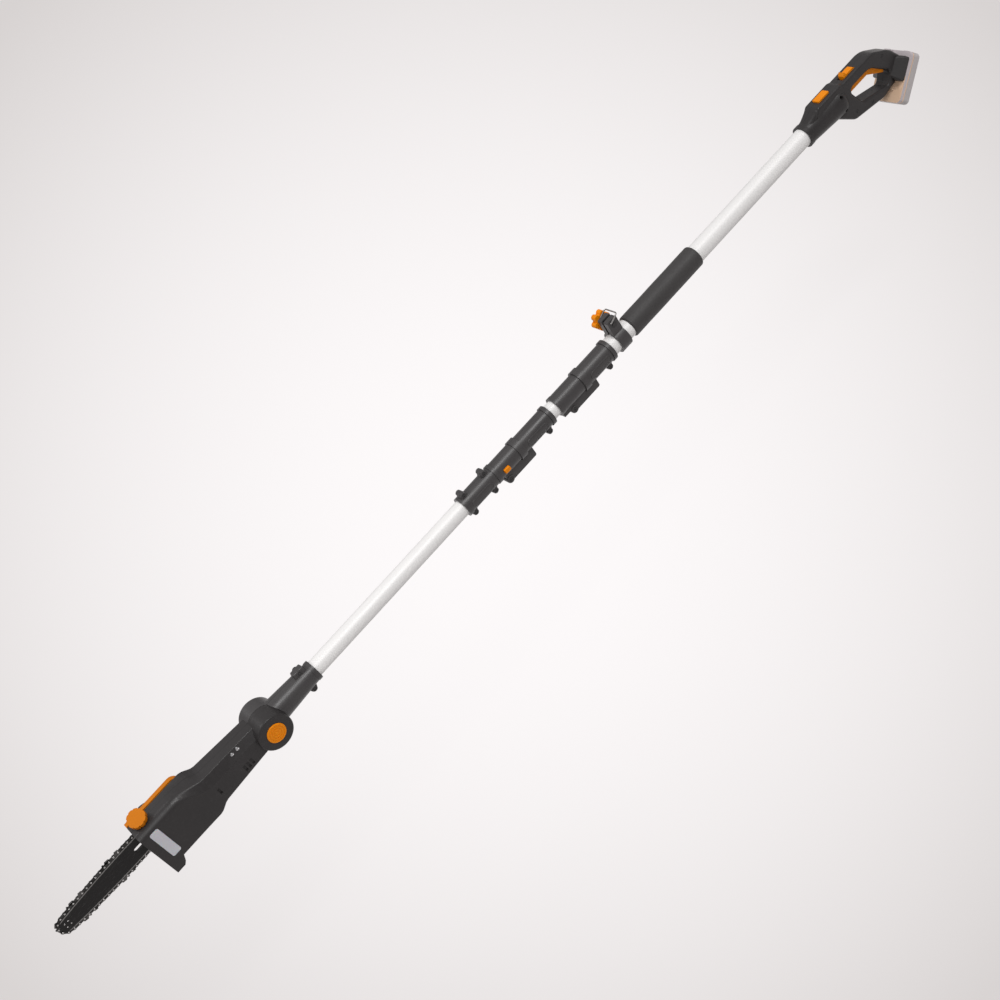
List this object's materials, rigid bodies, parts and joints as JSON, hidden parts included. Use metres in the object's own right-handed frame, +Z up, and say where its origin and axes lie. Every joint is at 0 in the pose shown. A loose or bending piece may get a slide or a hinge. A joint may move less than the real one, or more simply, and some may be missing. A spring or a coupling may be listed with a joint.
{
  "type": "telescoping pole saw",
  "caption": "Cordless telescoping pole saw: a chain bar on a tilting powered head, push-together tube sections, a foam hand grip, a strap ring and a D-handle with trigger and slide-off battery.",
  "frame": {"origin": "on the pole axis, at the middle of the foam hand grip", "axes": "+X along the pole from the saw bar towards the rear handle, +Z up through the top of the rear handle, +Y to the right of a user who looks along the pole towards the saw"},
  "size_m": [1.9915, 0.0808, 0.1628],
  "materials": {
    "tube": "satin clear-coated drawn tube",
    "foam": "matt closed-cell foam with a fine grain",
    "black_plastic": "charcoal moulded plastic, fine spark grain",
    "orange_plastic": "satin orange moulded plastic",
    "tank_plastic": "translucent milky plastic",
    "screw_steel": "zinc-plated screws",
    "bright_steel": "bright nickel-plated wire",
    "chain_steel": "dark oiled chain steel with bright rivets",
    "bar_steel": "satin black coated bar with bare worn rails",
    "motor_steel": "bright turned steel",
    "bronze": "sintered bronze",
    "switch_plastic": "black technical plastic",
    "peach_plastic": "satin peach plastic",
    "pale_plastic": "satin pale grey plastic"
  },
  "bodies": {
    "handle_section": {"outer_tube": "tube", "foam_grip": "foam", "handle_left": "black_plastic", "handle_right": "black_plastic", "handle_screws": "screw_steel", "trigger_switch": "switch_plastic", "terminal_block": "switch_plastic", "strap_collar": "black_plastic", "collar_nut": "screw_steel", "lock_shell_left": "black_plastic", "lock_shell_right": "black_plastic", "lock_screws": "screw_steel", "guide_bush": "black_plastic"},
    "trigger_lever": {"trigger": "orange_plastic"},
    "lock_off_slider": {"lock_off": "orange_plastic"},
    "top_switch": {"top_button": "orange_plastic"},
    "battery_pack": {"battery_front": "peach_plastic", "battery_band": "orange_plastic", "battery_rear": "pale_plastic"},
    "battery_catch": {"battery_latch": "black_plastic"},
    "length_button": {"lock_button": "orange_plastic"},
    "collar_screw": {"collar_knob": "orange_plastic"},
    "carry_ring": {"strap_ring": "bright_steel"},
    "middle_section": {"middle_tube": "tube", "tail_bush": "black_plastic", "socket_shell_left": "black_plastic", "socket_shell_right": "black_plastic", "socket_screws": "screw_steel", "contact_socket": "black_plastic"},
    "release_button": {"socket_button": "orange_plastic"},
    "front_section": {"front_tube": "tube", "plug_shell_left": "black_plastic", "plug_shell_right": "black_plastic", "plug_core": "black_plastic", "plug_screws": "screw_steel", "yoke_left": "black_plastic", "yoke_right": "black_plastic", "yoke_screws": "screw_steel", "pivot_bolt": "screw_steel"},
    "saw_head": {"head_left": "black_plastic", "head_right": "black_plastic", "head_screws": "screw_steel", "oil_tank": "tank_plastic", "guide_bar": "bar_steel", "chain_drive_links": "chain_steel", "chain_straps": "chain_steel", "chain_cutters": "chain_steel", "bar_stud": "screw_steel", "chain_cover": "orange_plastic", "motor": "motor_steel", "shaft_bush": "bronze"},
    "tilt_release": {"tilt_button": "orange_plastic"},
    "filler_cap": {"oil_cap": "orange_plastic"},
    "cover_screw": {"cover_knob": "black_plastic"},
    "motor_rotor": {"motor_shaft": "motor_steel"},
    "sprocket_spindle": {"sprocket_shaft": "motor_steel", "sprocket": "motor_steel"}
  },
  "joints": [
    {"name": "trigger_pull", "type": "hinge", "parent": "handle_section", "child": "trigger_lever", "pos_m": [0.496, 0, 0.0123], "axis": [0, -1, 0], "range_deg": [0, 5], "stiffness_Nm_per_rad": 1, "springref_deg": -11.46},
    {"name": "lock_off_push", "type": "slide", "parent": "handle_section", "child": "lock_off_slider", "axis": [-1, 0, 0], "range_m": [0, 0.005], "stiffness_N_per_m": 800, "springref_m": -0.003},
    {"name": "top_switch_press", "type": "slide", "parent": "handle_section", "child": "top_switch", "axis": [0, 0, -1], "range_m": [0, 0.003], "stiffness_N_per_m": 800, "springref_m": -0.003},
    {"name": "battery_slide", "type": "slide", "parent": "handle_section", "child": "battery_pack", "axis": [-0.7501, 0, -0.6613], "range_m": [0, 0.06]},
    {"name": "battery_catch_press", "type": "slide", "parent": "battery_pack", "child": "battery_catch", "axis": [0.6613, 0, -0.7501], "range_m": [0, 0.002], "stiffness_N_per_m": 800, "springref_m": -0.003},
    {"name": "length_button_pull", "type": "slide", "parent": "handle_section", "child": "length_button", "axis": [0, 0, 1], "range_m": [0, 0.0025], "stiffness_N_per_m": 800, "springref_m": -0.003},
    {"name": "collar_screw_turn", "type": "hinge", "parent": "handle_section", "child": "collar_screw", "pos_m": [-0.1095, 0, 0.035], "axis": [0, 1, 0], "continuous": true},
    {"name": "carry_ring_swing", "type": "hinge", "parent": "handle_section", "child": "carry_ring", "pos_m": [-0.115, 0, 0.042], "axis": [0, -1, 0], "range_deg": [0, 130]},
    {"name": "telescope", "type": "slide", "parent": "handle_section", "child": "middle_section", "axis": [-1, 0, 0], "range_m": [0, 0.4]},
    {"name": "release_press", "type": "slide", "parent": "middle_section", "child": "release_button", "axis": [0, 1, 0], "range_m": [0, 0.0025], "stiffness_N_per_m": 800, "springref_m": -0.003},
    {"name": "section_pull_off", "type": "slide", "parent": "middle_section", "child": "front_section", "axis": [-1, 0, 0], "range_m": [0, 0.09]},
    {"name": "head_tilt", "type": "hinge", "parent": "front_section", "child": "saw_head", "pos_m": [-0.9315, 0, 0], "axis": [0, -1, 0], "range_deg": [0, 30]},
    {"name": "tilt_release_press", "type": "slide", "parent": "saw_head", "child": "tilt_release", "axis": [0, 1, 0], "range_m": [0, 0.004], "stiffness_N_per_m": 800, "springref_m": -0.003},
    {"name": "filler_cap_turn", "type": "hinge", "parent": "saw_head", "child": "filler_cap", "pos_m": [-1.152, 0.0003, 0.051], "axis": [0, -0.342, 0.9397], "continuous": true},
    {"name": "cover_screw_turn", "type": "hinge", "parent": "saw_head", "child": "cover_screw", "pos_m": [-1.1455, 0, 0], "axis": [0, 1, 0], "continuous": true},
    {"name": "motor_spin", "type": "hinge", "parent": "saw_head", "child": "motor_rotor", "pos_m": [-1.0645, 0, 0], "axis": [1, 0, 0], "continuous": true},
    {"name": "sprocket_spin", "type": "hinge", "parent": "saw_head", "child": "sprocket_spindle", "pos_m": [-1.0995, 0, 0], "axis": [0, 1, 0], "continuous": true}
  ],
  "couplings": [
    {"joint": "motor_spin", "follows": "sprocket_spin", "ratio": -1.5}
  ]
}
